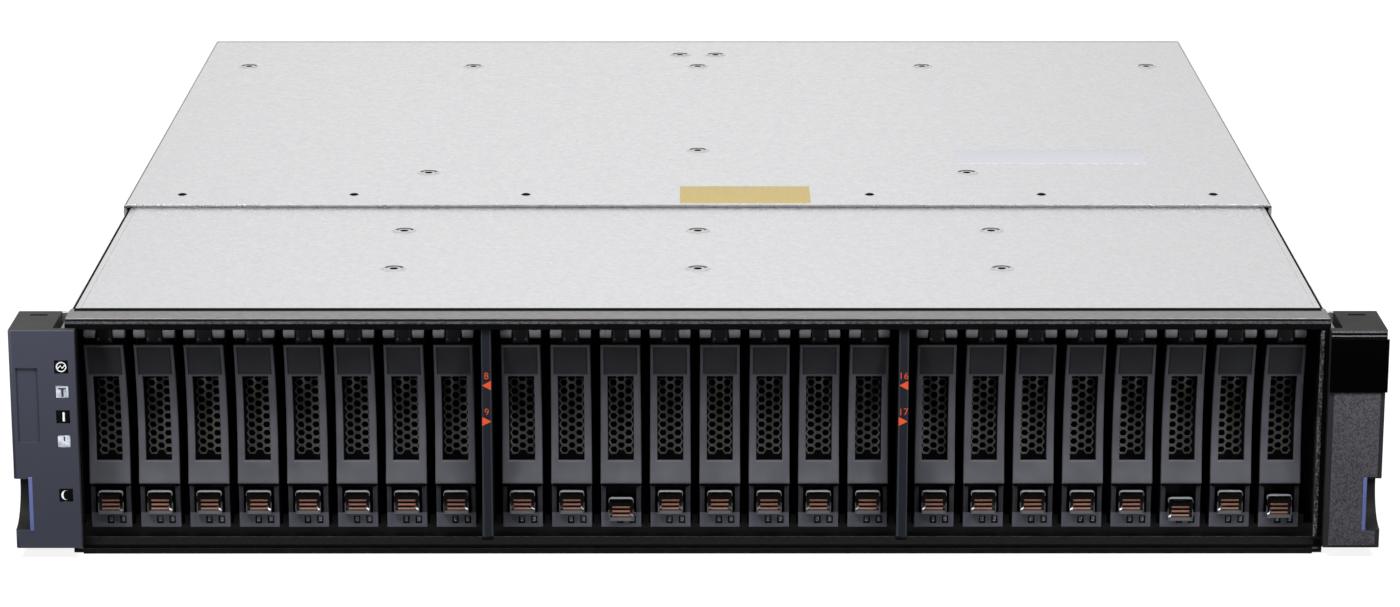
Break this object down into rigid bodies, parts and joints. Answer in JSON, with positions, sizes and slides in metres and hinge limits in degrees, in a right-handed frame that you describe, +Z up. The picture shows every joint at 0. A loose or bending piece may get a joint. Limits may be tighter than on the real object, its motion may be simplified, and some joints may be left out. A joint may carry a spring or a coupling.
{
  "type": "rack storage array",
  "caption": "Two-unit rack storage array: steel chassis with upright hot-swap drive carriers in front, controllers and power modules behind, end caps over the rack ears.",
  "frame": {"origin": "centre of the footprint, on the underside of the chassis", "axes": "+X to the right seen from the front, +Y to the rear, +Z up; the drive bays face -Y"},
  "size_m": [0.4826, 0.516, 0.0877],
  "materials": {
    "galvanised_steel": "satin",
    "module_steel": "satin",
    "black_plastic": "satin",
    "cap_plastic": "matte",
    "carrier_plastic": "matte",
    "handle_plastic": "matte",
    "circuit_board": "satin"
  },
  "bodies": {
    "chassis": {"chassis_tray": "galvanised_steel", "front_top_cover": "galvanised_steel", "rear_top_cover": "galvanised_steel", "front_frame": "black_plastic", "drive_guides": "black_plastic", "midplane_board": "circuit_board", "left_end_cap": "cap_plastic", "right_end_cap": "cap_plastic"},
    "carrier_01": {"drive_carrier_01": "carrier_plastic"},
    "handle_01": {"carrier_handle_01": "handle_plastic"},
    "carrier_02": {"drive_carrier_02": "carrier_plastic"},
    "handle_02": {"carrier_handle_02": "handle_plastic"},
    "carrier_03": {"drive_carrier_03": "carrier_plastic"},
    "handle_03": {"carrier_handle_03": "handle_plastic"},
    "carrier_04": {"drive_carrier_04": "carrier_plastic"},
    "handle_04": {"carrier_handle_04": "handle_plastic"},
    "carrier_05": {"drive_carrier_05": "carrier_plastic"},
    "handle_05": {"carrier_handle_05": "handle_plastic"},
    "carrier_06": {"drive_carrier_06": "carrier_plastic"},
    "handle_06": {"carrier_handle_06": "handle_plastic"},
    "carrier_07": {"drive_carrier_07": "carrier_plastic"},
    "handle_07": {"carrier_handle_07": "handle_plastic"},
    "carrier_08": {"drive_carrier_08": "carrier_plastic"},
    "handle_08": {"carrier_handle_08": "handle_plastic"},
    "carrier_09": {"drive_carrier_09": "carrier_plastic"},
    "handle_09": {"carrier_handle_09": "handle_plastic"},
    "carrier_10": {"drive_carrier_10": "carrier_plastic"},
    "handle_10": {"carrier_handle_10": "handle_plastic"},
    "carrier_11": {"drive_carrier_11": "carrier_plastic"},
    "handle_11": {"carrier_handle_11": "handle_plastic"},
    "carrier_12": {"drive_carrier_12": "carrier_plastic"},
    "handle_12": {"carrier_handle_12": "handle_plastic"},
    "carrier_13": {"drive_carrier_13": "carrier_plastic"},
    "handle_13": {"carrier_handle_13": "handle_plastic"},
    "carrier_14": {"drive_carrier_14": "carrier_plastic"},
    "handle_14": {"carrier_handle_14": "handle_plastic"},
    "carrier_15": {"drive_carrier_15": "carrier_plastic"},
    "handle_15": {"carrier_handle_15": "handle_plastic"},
    "carrier_16": {"drive_carrier_16": "carrier_plastic"},
    "handle_16": {"carrier_handle_16": "handle_plastic"},
    "carrier_17": {"drive_carrier_17": "carrier_plastic"},
    "handle_17": {"carrier_handle_17": "handle_plastic"},
    "carrier_18": {"drive_carrier_18": "carrier_plastic"},
    "handle_18": {"carrier_handle_18": "handle_plastic"},
    "carrier_19": {"drive_carrier_19": "carrier_plastic"},
    "handle_19": {"carrier_handle_19": "handle_plastic"},
    "carrier_20": {"drive_carrier_20": "carrier_plastic"},
    "handle_20": {"carrier_handle_20": "handle_plastic"},
    "carrier_21": {"drive_carrier_21": "carrier_plastic"},
    "handle_21": {"carrier_handle_21": "handle_plastic"},
    "carrier_22": {"drive_carrier_22": "carrier_plastic"},
    "handle_22": {"carrier_handle_22": "handle_plastic"},
    "carrier_23": {"drive_carrier_23": "carrier_plastic"},
    "handle_23": {"carrier_handle_23": "handle_plastic"},
    "carrier_24": {"drive_carrier_24": "carrier_plastic"},
    "handle_24": {"carrier_handle_24": "handle_plastic"},
    "left_controller": {"left_controller": "module_steel"},
    "right_controller": {"right_controller": "module_steel"},
    "left_power_module": {"left_power_module": "module_steel"},
    "right_power_module": {"right_power_module": "module_steel"}
  },
  "joints": [
    {"name": "carrier_01_slide", "type": "slide", "parent": "chassis", "child": "carrier_01", "axis": [0, -1, 0], "range_m": [0, 0.13]},
    {"name": "handle_01_hinge", "type": "hinge", "parent": "carrier_01", "child": "handle_01", "pos_m": [-0.2095, -0.2432, 0.0797], "axis": [-1, 0, 0], "range_deg": [0, 50]},
    {"name": "carrier_02_slide", "type": "slide", "parent": "chassis", "child": "carrier_02", "axis": [0, -1, 0], "range_m": [0, 0.13]},
    {"name": "handle_02_hinge", "type": "hinge", "parent": "carrier_02", "child": "handle_02", "pos_m": [-0.1919, -0.2432, 0.0797], "axis": [-1, 0, 0], "range_deg": [0, 50]},
    {"name": "carrier_03_slide", "type": "slide", "parent": "chassis", "child": "carrier_03", "axis": [0, -1, 0], "range_m": [0, 0.13]},
    {"name": "handle_03_hinge", "type": "hinge", "parent": "carrier_03", "child": "handle_03", "pos_m": [-0.1743, -0.2432, 0.0797], "axis": [-1, 0, 0], "range_deg": [0, 50]},
    {"name": "carrier_04_slide", "type": "slide", "parent": "chassis", "child": "carrier_04", "axis": [0, -1, 0], "range_m": [0, 0.13]},
    {"name": "handle_04_hinge", "type": "hinge", "parent": "carrier_04", "child": "handle_04", "pos_m": [-0.1567, -0.2432, 0.0797], "axis": [-1, 0, 0], "range_deg": [0, 50]},
    {"name": "carrier_05_slide", "type": "slide", "parent": "chassis", "child": "carrier_05", "axis": [0, -1, 0], "range_m": [0, 0.13]},
    {"name": "handle_05_hinge", "type": "hinge", "parent": "carrier_05", "child": "handle_05", "pos_m": [-0.1391, -0.2432, 0.0797], "axis": [-1, 0, 0], "range_deg": [0, 50]},
    {"name": "carrier_06_slide", "type": "slide", "parent": "chassis", "child": "carrier_06", "axis": [0, -1, 0], "range_m": [0, 0.13]},
    {"name": "handle_06_hinge", "type": "hinge", "parent": "carrier_06", "child": "handle_06", "pos_m": [-0.1215, -0.2432, 0.0797], "axis": [-1, 0, 0], "range_deg": [0, 50]},
    {"name": "carrier_07_slide", "type": "slide", "parent": "chassis", "child": "carrier_07", "axis": [0, -1, 0], "range_m": [0, 0.13]},
    {"name": "handle_07_hinge", "type": "hinge", "parent": "carrier_07", "child": "handle_07", "pos_m": [-0.1039, -0.2432, 0.0797], "axis": [-1, 0, 0], "range_deg": [0, 50]},
    {"name": "carrier_08_slide", "type": "slide", "parent": "chassis", "child": "carrier_08", "axis": [0, -1, 0], "range_m": [0, 0.13]},
    {"name": "handle_08_hinge", "type": "hinge", "parent": "carrier_08", "child": "handle_08", "pos_m": [-0.0863, -0.2432, 0.0797], "axis": [-1, 0, 0], "range_deg": [0, 50]},
    {"name": "carrier_09_slide", "type": "slide", "parent": "chassis", "child": "carrier_09", "axis": [0, -1, 0], "range_m": [0, 0.13]},
    {"name": "handle_09_hinge", "type": "hinge", "parent": "carrier_09", "child": "handle_09", "pos_m": [-0.0626, -0.2432, 0.0797], "axis": [-1, 0, 0], "range_deg": [0, 50]},
    {"name": "carrier_10_slide", "type": "slide", "parent": "chassis", "child": "carrier_10", "axis": [0, -1, 0], "range_m": [0, 0.13]},
    {"name": "handle_10_hinge", "type": "hinge", "parent": "carrier_10", "child": "handle_10", "pos_m": [-0.045, -0.2432, 0.0797], "axis": [-1, 0, 0], "range_deg": [0, 50]},
    {"name": "carrier_11_slide", "type": "slide", "parent": "chassis", "child": "carrier_11", "axis": [0, -1, 0], "range_m": [0, 0.13]},
    {"name": "handle_11_hinge", "type": "hinge", "parent": "carrier_11", "child": "handle_11", "pos_m": [-0.0274, -0.2432, 0.0797], "axis": [-1, 0, 0], "range_deg": [0, 50]},
    {"name": "carrier_12_slide", "type": "slide", "parent": "chassis", "child": "carrier_12", "axis": [0, -1, 0], "range_m": [0, 0.13]},
    {"name": "handle_12_hinge", "type": "hinge", "parent": "carrier_12", "child": "handle_12", "pos_m": [-0.0098, -0.2432, 0.0797], "axis": [-1, 0, 0], "range_deg": [0, 50]},
    {"name": "carrier_13_slide", "type": "slide", "parent": "chassis", "child": "carrier_13", "axis": [0, -1, 0], "range_m": [0, 0.13]},
    {"name": "handle_13_hinge", "type": "hinge", "parent": "carrier_13", "child": "handle_13", "pos_m": [0.0078, -0.2432, 0.0797], "axis": [-1, 0, 0], "range_deg": [0, 50]},
    {"name": "carrier_14_slide", "type": "slide", "parent": "chassis", "child": "carrier_14", "axis": [0, -1, 0], "range_m": [0, 0.13]},
    {"name": "handle_14_hinge", "type": "hinge", "parent": "carrier_14", "child": "handle_14", "pos_m": [0.0254, -0.2432, 0.0797], "axis": [-1, 0, 0], "range_deg": [0, 50]},
    {"name": "carrier_15_slide", "type": "slide", "parent": "chassis", "child": "carrier_15", "axis": [0, -1, 0], "range_m": [0, 0.13]},
    {"name": "handle_15_hinge", "type": "hinge", "parent": "carrier_15", "child": "handle_15", "pos_m": [0.043, -0.2432, 0.0797], "axis": [-1, 0, 0], "range_deg": [0, 50]},
    {"name": "carrier_16_slide", "type": "slide", "parent": "chassis", "child": "carrier_16", "axis": [0, -1, 0], "range_m": [0, 0.13]},
    {"name": "handle_16_hinge", "type": "hinge", "parent": "carrier_16", "child": "handle_16", "pos_m": [0.0606, -0.2432, 0.0797], "axis": [-1, 0, 0], "range_deg": [0, 50]},
    {"name": "carrier_17_slide", "type": "slide", "parent": "chassis", "child": "carrier_17", "axis": [0, -1, 0], "range_m": [0, 0.13]},
    {"name": "handle_17_hinge", "type": "hinge", "parent": "carrier_17", "child": "handle_17", "pos_m": [0.0843, -0.2432, 0.0797], "axis": [-1, 0, 0], "range_deg": [0, 50]},
    {"name": "carrier_18_slide", "type": "slide", "parent": "chassis", "child": "carrier_18", "axis": [0, -1, 0], "range_m": [0, 0.13]},
    {"name": "handle_18_hinge", "type": "hinge", "parent": "carrier_18", "child": "handle_18", "pos_m": [0.1019, -0.2432, 0.0797], "axis": [-1, 0, 0], "range_deg": [0, 50]},
    {"name": "carrier_19_slide", "type": "slide", "parent": "chassis", "child": "carrier_19", "axis": [0, -1, 0], "range_m": [0, 0.13]},
    {"name": "handle_19_hinge", "type": "hinge", "parent": "carrier_19", "child": "handle_19", "pos_m": [0.1195, -0.2432, 0.0797], "axis": [-1, 0, 0], "range_deg": [0, 50]},
    {"name": "carrier_20_slide", "type": "slide", "parent": "chassis", "child": "carrier_20", "axis": [0, -1, 0], "range_m": [0, 0.13]},
    {"name": "handle_20_hinge", "type": "hinge", "parent": "carrier_20", "child": "handle_20", "pos_m": [0.1371, -0.2432, 0.0797], "axis": [-1, 0, 0], "range_deg": [0, 50]},
    {"name": "carrier_21_slide", "type": "slide", "parent": "chassis", "child": "carrier_21", "axis": [0, -1, 0], "range_m": [0, 0.13]},
    {"name": "handle_21_hinge", "type": "hinge", "parent": "carrier_21", "child": "handle_21", "pos_m": [0.1547, -0.2432, 0.0797], "axis": [-1, 0, 0], "range_deg": [0, 50]},
    {"name": "carrier_22_slide", "type": "slide", "parent": "chassis", "child": "carrier_22", "axis": [0, -1, 0], "range_m": [0, 0.13]},
    {"name": "handle_22_hinge", "type": "hinge", "parent": "carrier_22", "child": "handle_22", "pos_m": [0.1723, -0.2432, 0.0797], "axis": [-1, 0, 0], "range_deg": [0, 50]},
    {"name": "carrier_23_slide", "type": "slide", "parent": "chassis", "child": "carrier_23", "axis": [0, -1, 0], "range_m": [0, 0.13]},
    {"name": "handle_23_hinge", "type": "hinge", "parent": "carrier_23", "child": "handle_23", "pos_m": [0.1899, -0.2432, 0.0797], "axis": [-1, 0, 0], "range_deg": [0, 50]},
    {"name": "carrier_24_slide", "type": "slide", "parent": "chassis", "child": "carrier_24", "axis": [0, -1, 0], "range_m": [0, 0.13]},
    {"name": "handle_24_hinge", "type": "hinge", "parent": "carrier_24", "child": "handle_24", "pos_m": [0.2075, -0.2432, 0.0797], "axis": [-1, 0, 0], "range_deg": [0, 50]},
    {"name": "left_controller_slide", "type": "slide", "parent": "chassis", "child": "left_controller", "axis": [0, 1, 0], "range_m": [0, 0.25]},
    {"name": "right_controller_slide", "type": "slide", "parent": "chassis", "child": "right_controller", "axis": [0, 1, 0], "range_m": [0, 0.25]},
    {"name": "left_power_module_slide", "type": "slide", "parent": "chassis", "child": "left_power_module", "axis": [0, 1, 0], "range_m": [0, 0.25]},
    {"name": "right_power_module_slide", "type": "slide", "parent": "chassis", "child": "right_power_module", "axis": [0, 1, 0], "range_m": [0, 0.25]}
  ]
}
